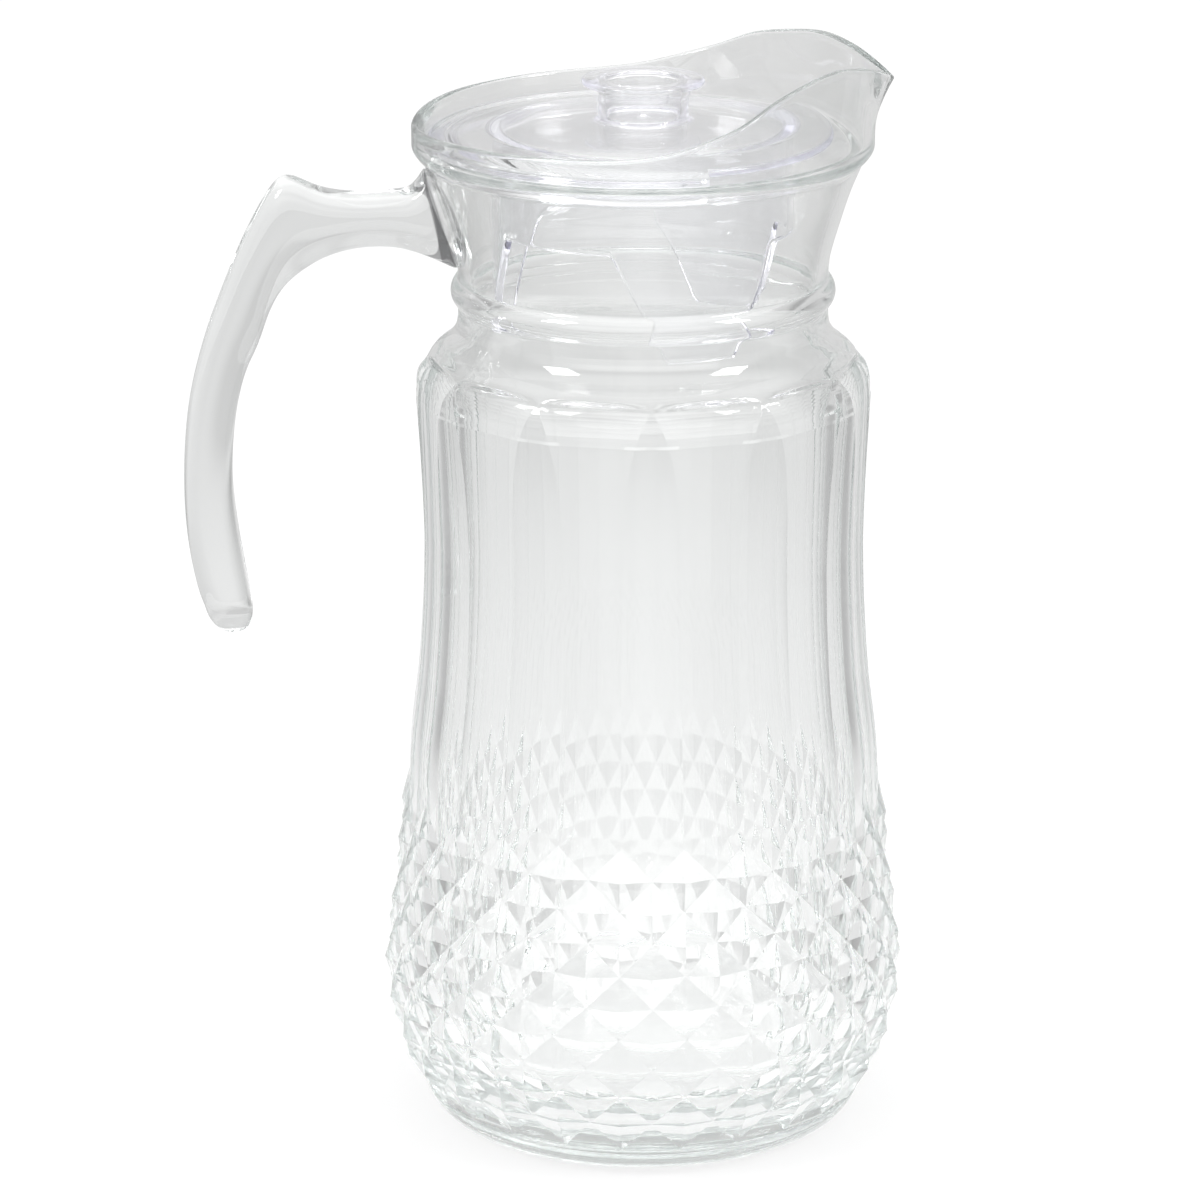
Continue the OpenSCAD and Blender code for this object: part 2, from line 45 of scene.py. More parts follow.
def set_camera():
    turn, pitch = math.radians(2.143), math.radians(16.667)
    distance, height = 1440.0 * MM, 566.3 * MM
    photo_width, pixels_off_centre = 1200, -43.11
    bpy.ops.object.select_all(action="DESELECT")
    bpy.ops.object.camera_add(
        location=(-distance * math.sin(turn), -distance * math.cos(turn), height),
        rotation=(math.pi / 2 - pitch, 0, -turn),
    )
    camera = bpy.context.object
    camera.data.sensor_width = 36
    camera.data.lens = 177.66
    camera.data.shift_x = pixels_off_centre / photo_width
    camera.data.clip_end = 20
    bpy.context.scene.camera = camera


# ---- Curves through measured points ----------------------------------------

def slope(knots, i):
    """Slope at a knot, taken between its two neighbours."""
    a, b = max(i - 1, 0), min(i + 1, len(knots) - 1)
    return (knots[b][1] - knots[a][1]) / (knots[b][0] - knots[a][0])


def curve_at(knots, x):
    """Reads a smooth curve through knots of (place, value)."""
    i = 0
    while i < len(knots) - 2 and x >= knots[i + 1][0]:
        i += 1
    w = knots[i + 1][0] - knots[i][0]
    t = (x - knots[i][0]) / w
    a, b = knots[i][1], knots[i + 1][1]
    m, n = slope(knots, i) * w, slope(knots, i + 1) * w
    return (a * (2 * t ** 3 - 3 * t * t + 1) + m * (t ** 3 - 2 * t * t + t)
            + b * (3 * t * t - 2 * t ** 3) + n * (t ** 3 - t * t))


def soft_min(a, b, blend):
    """The lesser of two lengths, with a fillet of about blend where they cross."""
    h = min(max(0.5 + 0.5 * (b - a) / blend, 0), 1)
    return b * (1 - h) + a * h - blend * h * (1 - h)


def on_circle(r, degrees, z):
    a = math.radians(degrees)
    return (r * math.cos(a), r * math.sin(a), z)


# ---- Outline of the jug, in millimetres ------------------------------------

# Heights at which the parts of the outline start, and their radii
BULB_Z, WAIST_Z, SHOULDER_Z, NECK_Z, COLLAR_Z, BAND_Z, BAND_TOP, SEAT_Z = (
    7.9, 88.7, 190.0, 212.0, 222.0, 250.0, 256.6, 253.4)
BULB_R, WAIST_R, SHOULDER_R, NECK_R, COLLAR_R, RIM_R, SEAT_R = (
    64.8, 55.7, 57.2, 46.3, 54.8, 57.5, 55.0)
FOOT_R, DIAMOND_OUT, BEAD_OUT = 46.0, 1.8, 1.8
BULB_WALL, WAIST_WALL, NECK_WALL, FLOOR = 4.4, 4.2, 3.1, 11.0
# Height over which the band's underside rolls outwards
BAND_ROLL = 6.6 * 0.6

# Rows of diamonds, corners and points round a row, and columns of mesh between two of them
ROWS, PLACES, CELL = 10, 48, 4
PLACE = 360 / PLACES
COLUMNS = PLACES * CELL
STEP = 360 / COLUMNS

# Two flutes take 30 degrees: one narrows to a lancet on the shoulder, the next one widens
PAIR, HALF_FLUTE, LANCET_POINT, LANCET_LENGTH = 30, 7.5, 0.4, 11.3
LANCET_SHARE = 0.42
LANCET_Z = SHOULDER_Z + (NECK_Z - SHOULDER_Z) * LANCET_SHARE
HOLLOW = 0.22

# Shares of the height and of the radius or the change in radius
FLARE_END = 0.62
BULB_OUTLINE = [(0, 0.866), (0.2, 0.963), (0.4, 1), (0.6, 0.972), (0.8, 0.942), (1, 0.93)]
LOW_FLARE = [(0, 1), (0.2, 0.83), (0.48, 0.37), (0.78, 0.09), (1, 0)]
SHOULDER_OUTLINE = [(0, 0), (0.2, 0.02), (0.34, 0.12), (0.5, 0.42), (0.62, 0.72), (0.76, 0.93),
                    (0.9, 0.995), (1, 1)]
COLLAR_OUTLINE = [(0, 0), (0.15, 0.06), (0.45, 0.34), (0.75, 0.66), (1, 1)]

# Degrees from the middle of the spout, and shares of the wings' rise and of the rim's radius
LIP_HEIGHT = [(0, 0.6), (8, 0.784), (16, 0.908), (28, 1), (42, 0.915), (56, 0.745), (70, 0.41),
              (90, 0.07), (120, -0.01), (150, -0.05), (180, -0.15)]
LIP_PLAN = [(0, 62.2 / RIM_R), (8, 1.019), (16, 0.977), (28, 0.932), (42, 0.913), (56, 0.943),
            (70, 0.991), (90, 1), (180, 1)]
RIM_Z, WING_RISE, LIP_T = 261.2, 15.3, 1.9


def bulb_radius(share):
    """Radius at a share of the bulb's height, as the others are at one of their own."""
    return BULB_R * curve_at(BULB_OUTLINE, share)


def waist_radius(share):
    if share < FLARE_END:
        return WAIST_R + (bulb_radius(1) - WAIST_R) * curve_at(LOW_FLARE, share / FLARE_END)
    return WAIST_R + (SHOULDER_R - WAIST_R) * ((share - FLARE_END) / (1 - FLARE_END)) ** 1.6


def shoulder_radius(share):
    return SHOULDER_R - (SHOULDER_R - NECK_R) * curve_at(SHOULDER_OUTLINE, share)


def collar_radius(share):
    return NECK_R + (COLLAR_R - NECK_R) * curve_at(COLLAR_OUTLINE, share)


def from_spout(a):
    """Degrees from the middle of the spout, to either side."""
    a = a % 360
    return min(a, 360 - a)


def lip_z(a):
    return RIM_Z + WING_RISE * curve_at(LIP_HEIGHT, from_spout(a))


def lip_r(a):
    return RIM_R * curve_at(LIP_PLAN, from_spout(a))


# ---- Rings of the jug's outside --------------------------------------------

def plain_ring(r, z):
    return [on_circle(r, i * STEP, z) for i in range(COLUMNS)]


def valley_rises(i, j):
    """Whether place j of row i is a corner, from which the cell's valley rises to the right."""
    return (j + (ROWS - i) % 2) % 2 == 1


def diamond_row(i):
    """Corners, and raised points midway between them; the first and last row stay flat there."""
    r, z = bulb_radius(i / ROWS), BULB_Z + (WAIST_Z - BULB_Z) * i / ROWS
    row = []
    for j in range(PLACES):
        if valley_rises(i, j):
            reach = r
        elif i in (0, ROWS):
            reach = r * math.cos(math.radians(PLACE))
        else:
            reach = r + DIAMOND_OUT
        row.append(Vector(on_circle(reach, j * PLACE, z)))
    return row


def diamond_rings():
    """Each cell between two rows is split along the valley that joins its two corners."""
    rows = [diamond_row(i) for i in range(ROWS + 1)]
    rings = []
    for i in range(ROWS):
        low, high = rows[i], rows[i + 1]
        for step in range(CELL + (i == ROWS - 1)):
            v = step / CELL
            ring = []
            for j in range(PLACES):
                a, b = low[j], low[(j + 1) % PLACES]
                c, d = high[(j + 1) % PLACES], high[j]
                rising = valley_rises(i, j)
                for k in range(CELL):
                    u = k / CELL
                    if rising and v <= u:
                        p = a + (b - a) * u + (c - b) * v
                    elif rising:
                        p = a + (d - a) * v + (c - d) * u
                    elif u + v <= 1:
                        p = a + (b - a) * u + (d - a) * v
                    else:
                        p = c + (d - c) * (1 - u) + (b - c) * (1 - v)
                    ring.append(tuple(p))
            rings.append(ring)
    return rings


def lancet_half(z):
    """Degrees from the middle line of a lancet to its edge."""
    return max(HALF_FLUTE * (1 - math.exp((z - LANCET_Z) / LANCET_LENGTH)), LANCET_POINT)


def column_offset(place, spread):
    """Degrees from a lancet's middle line to a column; a pair of flutes takes four cells."""
    if place <= CELL:
        return spread * place / CELL
    if place < 3 * CELL:
        return spread + (PAIR - 2 * spread) * (place - CELL) / (2 * CELL)
    return PAIR - spread * (4 * CELL - place) / CELL


def panel_radius(edge, half, near):
    """A flat panel, half degrees wide to each side, pressed slightly hollow."""
    flat = edge * math.cos(math.radians(half)) / math.cos(math.radians(near))
    return flat - HOLLOW * half / HALF_FLUTE * (1 - (near / half) ** 2)


def flute_ring(z):
    """Slightly hollow panels below, the turned shoulder above, with a soft edge between them."""
    half = lancet_half(min(z, LANCET_Z))
    spread = half
    if z > LANCET_Z:
        s = (z - LANCET_Z) / (NECK_Z - LANCET_Z)
        spread = half + (HALF_FLUTE - half) * s * s * (3 - 2 * s)
    if z <= SHOULDER_Z:
        edge, turned = waist_radius((z - WAIST_Z) / (SHOULDER_Z - WAIST_Z)), None
    else:
        s = (z - SHOULDER_Z) / (NECK_Z - SHOULDER_Z)
        turned = shoulder_radius(s)
        if z <= LANCET_Z:
            edge = turned
        else:
            flare = 11.4
            edge = shoulder_radius(LANCET_SHARE) + flare * (z - LANCET_Z) / (NECK_Z - LANCET_Z)
    ring = []
    for i in range(COLUMNS):
        pair, place = divmod(i, 4 * CELL)
        offset = column_offset(place, spread)
        near = min(offset, PAIR - offset)
        if near < half:
            r = panel_radius(edge, half, near)
        else:
            r = panel_radius(edge, PAIR / 2 - half, PAIR / 2 - near)
        if turned is not None:
            r = soft_min(r, turned, 0.7)
        ring.append(on_circle(r, pair * PAIR + offset, z))
    return ring


def foot_rings():
    """The flat underside and its round edge, to just below the first row of diamonds."""
    rings = [plain_ring(r, 0) for r in (0, FOOT_R * 0.5, FOOT_R - 1.2)]
    top, steps, sweep = bulb_radius(0), 12, 0.9
    for i in range(steps + 1):
        a = 90 * i / steps
        out = ((top - FOOT_R) * math.sin(math.radians(a * sweep))
               / math.sin(math.radians(90 * sweep)))
        z = BULB_Z * (1 - math.cos(math.radians(a))) if i < steps else BULB_Z - 0.05
        rings.append(plain_ring(FOOT_R + out, z))
    return rings


def fluted_rings():
    """The waist's flutes, and over the shoulder until they have sunk into it."""
    rings, waist_steps, shoulder_steps = [], 40, 28
    z = WAIST_Z
    while z < SHOULDER_Z - 0.1:
        z = min(z + (SHOULDER_Z - WAIST_Z) / waist_steps, SHOULDER_Z)
        rings.append(flute_ring(z))
    for i in range(1, shoulder_steps + 1):
        rings.append(flute_ring(SHOULDER_Z + (NECK_Z - SHOULDER_Z) * i / shoulder_steps))
    return rings


def neck_rings():
    """The neck with its bead, the flared collar and the start of the rolled band."""
    rings, steps, band_steps = [], 24, 8
    bead_r, bead_z = 4.0, NECK_Z + 4.6
    for i in range(1, steps + 1):
        z = NECK_Z + (COLLAR_Z - NECK_Z) * i / steps
        reach = bead_r * bead_r - (z - bead_z) ** 2
        bulge = NECK_R + BEAD_OUT - bead_r + math.sqrt(reach) if reach > 0 else 0
        rings.append(plain_ring(-soft_min(-NECK_R, -bulge, 0.5), z))
    for i in range(1, steps + 1):
        rings.append(plain_ring(collar_radius(i / steps),
                                COLLAR_Z + (BAND_Z - COLLAR_Z) * i / steps))
    for i in range(1, band_steps + 1):
        swing = math.sin(math.radians(90 * i / band_steps))
        rings.append(plain_ring(COLLAR_R + (RIM_R - COLLAR_R) * swing,
                                BAND_Z + BAND_ROLL * i / band_steps))
    return rings


def outer_rings():
    """From the middle of the foot to the rolled band, and the first and last ring of diamonds."""
    rings = foot_rings()
    first = len(rings)
    rings += diamond_rings()
    last = len(rings) - 1
    return rings + fluted_rings() + neck_rings(), first, last


def lip_rings():
    """Up the outside of the rim and spout, round its top and down the inside to the ledge."""
    rings = []
    steps, round_steps, half = 14, 12, LIP_T / 2

    def side(share, inside):
        ring = []
        for i in range(COLUMNS):
            a = i * STEP
            high = lip_z(a) - half
            z = BAND_TOP + (high - BAND_TOP) * share
            if inside:
                r = SEAT_R + (lip_r(a) - LIP_T - SEAT_R) * share ** 1.5
            else:
                r = RIM_R + (lip_r(a) - RIM_R) * share ** 1.5
            ring.append(on_circle(r, a, z))
        return ring

    for i in range(steps):
        rings.append(side(i / steps, False))
    for k in range(round_steps + 1):
        t = math.pi * k / round_steps
        rings.append([on_circle(lip_r(i * STEP) - half + half * math.cos(t), i * STEP,
                                lip_z(i * STEP) - half + half * math.sin(t))
                      for i in range(COLUMNS)])
    for i in range(steps - 1, -1, -1):
        rings.append(side(i / steps, True))
    return rings


def inner_rings():
    """The smooth hollow, from the ledge down to the middle of the floor."""
    neck_r, collar_r = NECK_R - NECK_WALL, COLLAR_R - NECK_WALL
    ledge = [(SEAT_R, BAND_TOP - 1), (SEAT_R - 0.15, SEAT_Z + 0.7), (SEAT_R - 0.7, SEAT_Z + 0.1),
             (SEAT_R - 1.6, SEAT_Z), (collar_r + 0.5, SEAT_Z), (collar_r, SEAT_Z - 0.4)]
    rings = [plain_ring(r, z) for r, z in ledge]
    collar_steps, neck_steps, waist_steps, bulb_steps = 30, 5, 40, 24
    for i in range(collar_steps - 1, -1, -1):
        s = i / collar_steps
        r = neck_r + (COLLAR_R - NECK_R) * curve_at(COLLAR_OUTLINE, s)
        rings.append(plain_ring(r, COLLAR_Z + (SEAT_Z - COLLAR_Z) * s))
    for i in range(1, neck_steps + 1):
        rings.append(plain_ring(neck_r, COLLAR_Z + (NECK_Z - COLLAR_Z) * i / neck_steps))
    for i in range(collar_steps - 1, -1, -1):
        s = i / collar_steps
        r = shoulder_radius(s) - WAIST_WALL + (WAIST_WALL - NECK_WALL) * s
        z = SHOULDER_Z + (NECK_Z - SHOULDER_Z - WAIST_WALL * (1 - s)) * s
        rings.append(plain_ring(r, z))
    for i in range(waist_steps - 1, -1, -1):
        rings.append(plain_ring(waist_radius(i / waist_steps) - WAIST_WALL,
                                WAIST_Z + (SHOULDER_Z - WAIST_Z) * i / waist_steps))
    # The bulb's wall runs round a wide corner into the floor
    height = WAIST_Z - BULB_Z
    corner = height * 0.28
    corner_z = FLOOR + corner
    share = (corner_z - BULB_Z) / height
    wall_r = bulb_radius(share) - BULB_WALL
    for i in range(bulb_steps - 1, -1, -1):
        s = share + (1 - share) * i / bulb_steps
        wall = BULB_WALL + (WAIST_WALL - BULB_WALL) * (s - share) / (1 - share)
        rings.append(plain_ring(bulb_radius(s) - wall, BULB_Z + height * s))
    for i in range(1, bulb_steps + 1):
        a = math.radians(-90 * i / bulb_steps)
        rings.append(plain_ring(wall_r - corner + corner * math.cos(a),
                                corner_z + corner * math.sin(a)))
    return rings + [plain_ring(wall_r - corner * 1.5, FLOOR), plain_ring(0, FLOOR)]


# ---- Sections of the handle ------------------------------------------------

COLLAR_JOINT = [(-54.65, 247.0), (-47.2, 222.8)]
JOINT_X, ARM, TIP_Z, HANDLE_H = -50.92, 64.58, 128.0, 119.0
ROOT_DEPTH, ROOT_W, TIP_W = 1.9, 16.0, 12.5

# Outer and inner side at each station, as shares of the arm's reach and the handle's height
HANDLE_SHARES = [
    ((0.11, 0.964), (0.06, 0.826)), ((0.2, 0.956), (0.16, 0.841)),
    ((0.33, 0.953), (0.29, 0.842)), ((0.46, 0.965), (0.42, 0.825)),
    ((0.585, 0.992), (0.52, 0.795)), ((0.66, 0.955), (0.6, 0.757)),
    ((0.755, 0.86), (0.655, 0.705)), ((0.845, 0.744), (0.7, 0.636)),
    ((0.915, 0.64), (0.755, 0.57)), ((0.975, 0.51), (0.795, 0.475)),
    ((1, 0.36), (0.812, 0.35)), ((0.993, 0.225), (0.793, 0.235)),
    ((0.96, 0.115), (0.76, 0.12)), ((0.928, 0.06), (0.746, 0.067))]
STATION_STEPS, EVENINGS = 8, 5


def handle_sides():
    """Outer and inner side of the handle, evened out so that the glass runs without ripples."""
    pairs = [tuple(Vector(p) for p in COLLAR_JOINT)]
    for pair in HANDLE_SHARES:
        pairs.append(tuple(Vector((JOINT_X - ARM * s[0], TIP_Z + HANDLE_H * s[1])) for s in pair))
    sides = []
    for side in (0, 1):
        knots = [[(i, pair[side][axis]) for i, pair in enumerate(pairs)] for axis in (0, 1)]
        last = (len(pairs) - 1) * STATION_STEPS
        line = [Vector(curve_at(k, i / STATION_STEPS) for k in knots) for i in range(last + 1)]
        for _ in range(EVENINGS):
            line = [line[0]] + [(line[i - 1] + line[i] * 2 + line[i + 1]) / 4
                                for i in range(1, last)] + [line[-1]]
        sides.append(line)
    return sides


def handle_rings():
    """Rounded-square sections, from inside the collar's glass to the blunt free tip."""
    outer, inner = handle_sides()
    columns, squareness, tip_steps = 64, 0.62, 12
    last = len(outer) - 1

    def section(a, b, width):
        middle, half = (a + b) / 2, (a - b) / 2
        ring = []
        for i in range(columns):
            t = math.tau * i / columns
            c, s = math.cos(t), math.sin(t)
            across = math.copysign(abs(s) ** squareness, s)
            along = math.copysign(abs(c) ** squareness, c)
            p = middle + half * along
            ring.append((p.x, width / 2 * across, p.y))
        return ring

    root = Vector((ROOT_DEPTH, 0.0))
    root_middle = inner[0] + root + (outer[0] - inner[0]) * 0.5
    rings = [section(root_middle, root_middle, 0.0),
             section(outer[0] + root, inner[0] + root, ROOT_W)]
    for i in range(last + 1):
        rings.append(section(outer[i], inner[i], ROOT_W - (ROOT_W - TIP_W) * i / last))
    middle = (outer[-1] + inner[-1]) / 2
    before = (outer[-1 - STATION_STEPS] + inner[-1 - STATION_STEPS]) / 2
    way = (middle - before).normalized()
    length = middle.y - TIP_Z
    for i in range(1, tip_steps + 1):
        a = math.radians(90 * i / tip_steps)
        centre = middle + way * length * math.sin(a)
        rings.append(section(centre + (outer[-1] - middle) * math.cos(a),
                             centre + (inner[-1] - middle) * math.cos(a), TIP_W * math.cos(a)))
    return rings


# ---- Rings of the lid ------------------------------------------------------

LID_Z, LID_TOP, PLATE_Z, KNOB_TOP = 253.5, 256.3, 260.1, 270.1
LID_R, PLUG_R, SKIRT_R, LID_T, KNOB_R, FLANGE_R = 53.4, 50.1, 37.3, 1.8, 11.3, 15.3
SKIRT_Z, LEG_Z, POUR_R, POUR_HALF = 233.9, 206.0, 47.6, 74.0
LEG_BOTTOM_HALF, LEG_SLANT = 13.5, 21.0
LEGS = (-69.5, 50.5, 170.5)


def dome_z(r):
    """Height of the lid's top, level at the edge of the plug and domed towards the knob."""
    s = min(max((PLUG_R - LID_T - r) / (PLUG_R - LID_T - KNOB_R), 0), 1)
    return LID_TOP + (PLATE_Z - LID_TOP) * math.sin(math.radians(90 * s))


def hem_z(a):
    """Lower edge of the skirt: down each leg's slanted sides and across its foot."""
    away = min(abs((a - leg + 180) % 360 - 180) for leg in LEGS)
    share = min(max((LEG_BOTTOM_HALF + LEG_SLANT - away) / LEG_SLANT, 0), 1)
    return SKIRT_Z + (LEG_Z - SKIRT_Z) * share


def lid_rings():
    """From the middle of the knob's cup over the plate and its edge, down the skirt and back."""
    rings = []

    def turned(r, z):
        rings.append(plain_ring(r, z))

    def arc(r, z, size, start, end, steps):
        for k in range(steps + 1):
            a = math.radians(start + (end - start) * k / steps)
            turned(r + size * math.cos(a), z + size * math.sin(a))

    # The gate's dot, the inside of the cup, its flange and the neck of the knob
    cup_r, cup_fillet, cup_lip = KNOB_R - LID_T, 0.8, 0.5
    flange, neck_fillet, foot_fillet = 0.8, 0.7, 0.9
    for r, rise in ((0, 0.5), (0.5, 0.45), (0.9, 0.05), (1.3, 0)):
        turned(r, PLATE_Z + rise)
    arc(cup_r - cup_fillet, PLATE_Z + cup_fillet, cup_fillet, -90, 0, 5)
    turned(cup_r, KNOB_TOP - 0.6)
    arc(cup_r + cup_lip, KNOB_TOP - cup_lip, cup_lip, 180, 90, 4)
    arc(FLANGE_R - flange, KNOB_TOP - flange, flange, 90, -90, 10)
    arc(KNOB_R + neck_fillet, KNOB_TOP - 2 * flange - neck_fillet, neck_fillet, 90, 180, 5)
    turned(KNOB_R, PLATE_Z + foot_fillet)
    arc(KNOB_R + foot_fillet, PLATE_Z + foot_fillet, foot_fillet, 180, 268, 5)

    def edged(r, z, under):
        """A ring cut back behind the spout to the rounded edge; under goes from 0 above to 1."""
        ring = []
        half = LID_T / 2
        turn = math.pi * under
        for i in range(COLUMNS):
            a = i * STEP
            if r > POUR_R and from_spout(a) < POUR_HALF:
                ring.append(on_circle(POUR_R - half + half * math.sin(turn), a,
                                      dome_z(POUR_R - half) - half + half * math.cos(turn)))
            else:
                ring.append(on_circle(r, a, z))
        rings.append(ring)

    # The dome, then the plate's edge and the plug under it
    dome_r, dome_steps, edge_r, edge_steps = PLUG_R - LID_T, 28, 0.9, 5
    pour_edge, plug_z, plug_side_z = POUR_R - 1.2, LID_Z - 2.8, LID_Z - 2.3
    for k in range(1, dome_steps + 1):
        r = KNOB_R + foot_fillet + (pour_edge - KNOB_R - foot_fillet) * k / dome_steps
        turned(r, dome_z(r))
    edge = [(POUR_R, dome_z(POUR_R)), (dome_r, LID_TOP), (dome_r + 1.2, LID_TOP),
            (LID_R - edge_r, LID_TOP)]
    for start, z, first in ((90, LID_TOP - edge_r, 1), (0, LID_Z + edge_r, 0)):
        for k in range(first, edge_steps + 1):
            a = math.radians(start - 90 * k / edge_steps)
            edge.append((LID_R - edge_r + edge_r * math.cos(a), z + edge_r * math.sin(a)))
    edge += [(PLUG_R + 0.4, LID_Z), (PLUG_R, LID_Z - 0.4), (PLUG_R, plug_side_z),
             (PLUG_R - 0.5, plug_z), (dome_r + 0.5, plug_z), (dome_r, plug_side_z),
             (dome_r, dome_z(dome_r) - LID_T)]
    for k, (r, z) in enumerate(edge):
        edged(r + 0.001 * (k == 0), z, 0.03 + 0.94 * k / (len(edge) - 1))
    # The plate's underside, down the skirt, round its hem and back to the middle
    under_steps, skirt_steps, hem_steps, middle_steps, fillet = 8, 24, 8, 12, 0.8
    for k in range(1, under_steps + 1):
        r = pour_edge - (pour_edge - SKIRT_R - fillet) * k / under_steps
        turned(r, dome_z(r) - LID_T)
    top = dome_z(SKIRT_R) - LID_T

    def hem(r, drop, rise):
        rings.append([on_circle(r, i * STEP, top + (hem_z(i * STEP) + rise - top) * drop)
                      for i in range(COLUMNS)])

    arc(SKIRT_R + fillet, top - fillet, fillet, 92, 180, 4)
    for k in range(1, skirt_steps + 1):
        hem(SKIRT_R, 0.06 + 0.94 * k / skirt_steps, 0.5)
    for k in range(1, hem_steps):
        a = math.radians(180 * k / hem_steps)
        hem(SKIRT_R - LID_T / 2 + LID_T / 2 * math.cos(a), 1, 0.5 - 0.5 * math.sin(a))
    for k in range(skirt_steps, 0, -1):
        hem(SKIRT_R - LID_T, 0.06 + 0.94 * k / skirt_steps, 0.5)
    arc(SKIRT_R - LID_T - fillet, top - fillet, fillet, 0, 88, 4)
    for k in range(1, middle_steps):
        r = (SKIRT_R - LID_T - fillet) * (1 - k / middle_steps)
        turned(r, dome_z(max(r, KNOB_R)) - LID_T)
    turned(0, PLATE_Z - LID_T)
    return rings


# ---- Working the meshes ----------------------------------------------------

def lay_rings(name, rings):
    """Extrudes a circle's open edge once for each ring and sets the rings in place."""
    bpy.ops.object.select_all(action="DESELECT")
    bpy.ops.mesh.primitive_circle_add(vertices=len(rings[0]), radius=10 * MM)
    piece = bpy.context.object
    piece.name = name
    piece.data.name = name
    bpy.ops.object.mode_set(mode="EDIT")
    bpy.ops.mesh.select_mode(type="VERT")
    bpy.ops.mesh.select_all(action="SELECT")
    for _ in rings[1:]:
        bpy.ops.mesh.extrude_region_move(TRANSFORM_OT_translate={"value": (0, 0, MM)})
    bpy.ops.object.mode_set(mode="OBJECT")
    flat = [c * MM for ring in rings for p in ring for c in p]
    piece.data.vertices.foreach_set("co", flat)
    piece.data.update()
    return piece


def split_cells(piece, first, last):
    """Splits the quads of the diamond rows along their valleys and ridges."""
    mesh = piece.data
    cells = {}
    for f in mesh.polygons:
        ids = sorted(f.vertices)
        ring = ids[0] // COLUMNS
        if not first <= ring < last:
            continue
        columns = sorted({v % COLUMNS for v in f.vertices})
        column = columns[1] if columns[1] - columns[0] > 1 else columns[0]
        if not valley_rises((ring - first) // CELL, column // CELL):
            column = (column + 1) % COLUMNS
        corner = ring * COLUMNS + column
        cells[f.index] = list(f.vertices).index(corner) % 2 == 0
    for even, method in ((True, "FIXED"), (False, "FIXED_ALTERNATE")):
        bpy.ops.object.mode_set(mode="EDIT")
        bpy.ops.mesh.select_mode(type="FACE")
        bpy.ops.mesh.select_all(action="DESELECT")
        bpy.ops.object.mode_set(mode="OBJECT")
        if even:
            for index, value in cells.items():
                mesh.polygons[index].select = value
        else:
            low, high = first * COLUMNS, (last + 1) * COLUMNS
            for f in mesh.polygons:
                f.select = len(f.vertices) == 4 and all(low <= v < high for v in f.vertices)
        bpy.ops.object.mode_set(mode="EDIT")
        bpy.ops.mesh.quads_convert_to_tris(quad_method=method, ngon_method="BEAUTY")
        bpy.ops.object.mode_set(mode="OBJECT")


def close_shell(piece):
    """Merges the poles and turns every face outwards."""
    bpy.context.view_layer.objects.active = piece
    bpy.ops.object.mode_set(mode="EDIT")
    bpy.ops.mesh.select_all(action="SELECT")
    bpy.ops.mesh.remove_doubles(threshold=0.002 * MM)
    bpy.ops.mesh.normals_make_consistent(inside=False)
    bpy.ops.mesh.select_all(action="DESELECT")
    bpy.ops.object.mode_set(mode="OBJECT")
    for f in piece.data.polygons:
        f.use_smooth = True


def soften_edges(piece, wanted, width, segments):
    """Rounds the edges that wanted() picks, as fire-polishing does."""
    mesh = piece.data
    faces_at = {}
    for f in mesh.polygons:
        for key in f.edge_keys:
            faces_at.setdefault(key, []).append(f.normal)
    weights = mesh.attributes.new("bevel_weight_edge", "FLOAT", "EDGE")
    for e in mesh.edges:
        normals = faces_at.get(e.key, ())
        if len(normals) == 2 and wanted(e, normals[0].angle(normals[1], 0)):
            weights.data[e.index].value = 1
    bevel = piece.modifiers.new("fire polish", "BEVEL")
    bevel.limit_method = "WEIGHT"
    bevel.width = width * MM
    bevel.segments = segments
    bevel.use_clamp_overlap = True
    bevel.harden_normals = True
    bpy.ops.object.modifier_apply(modifier=bevel.name)


# ---- Shader maths ----------------------------------------------------------

class Maker:
    """Makes nodes in one material or world."""

    def __init__(self, tree):
        self.tree = tree

    def make(self, kind, settings=None, **inputs):
        node = self.tree.nodes.new(kind)
        for key, value in (settings or {}).items():
            setattr(node, key, value)
        for key, value in inputs.items():
            name = key.replace("_", " ")
            socket = node.inputs[int(name[1:])] if name[1:].isdigit() else node.inputs[name]
            if isinstance(value, Value):
                value = value.socket
            if isinstance(value, bpy.types.NodeSocket):
                self.tree.links.new(value, socket)
            else:
                socket.default_value = value
        return node

    def split(self, place):
        """The x, y and z of a place."""
        node = self.make("ShaderNodeSeparateXYZ", Vector=place)
        return [Value(self, node.outputs[k]) for k in range(3)]

    def distance(self, place, centre=None):
        """How far a place is from the centre, or from the origin."""
        if centre is not None:
            place = self.make("ShaderNodeVectorMath", {"operation": "SUBTRACT"},
                              i0=place, i1=centre).outputs[0]
        node = self.make("ShaderNodeVectorMath", {"operation": "LENGTH"}, i0=place)
        return Value(self, node.outputs["Value"])


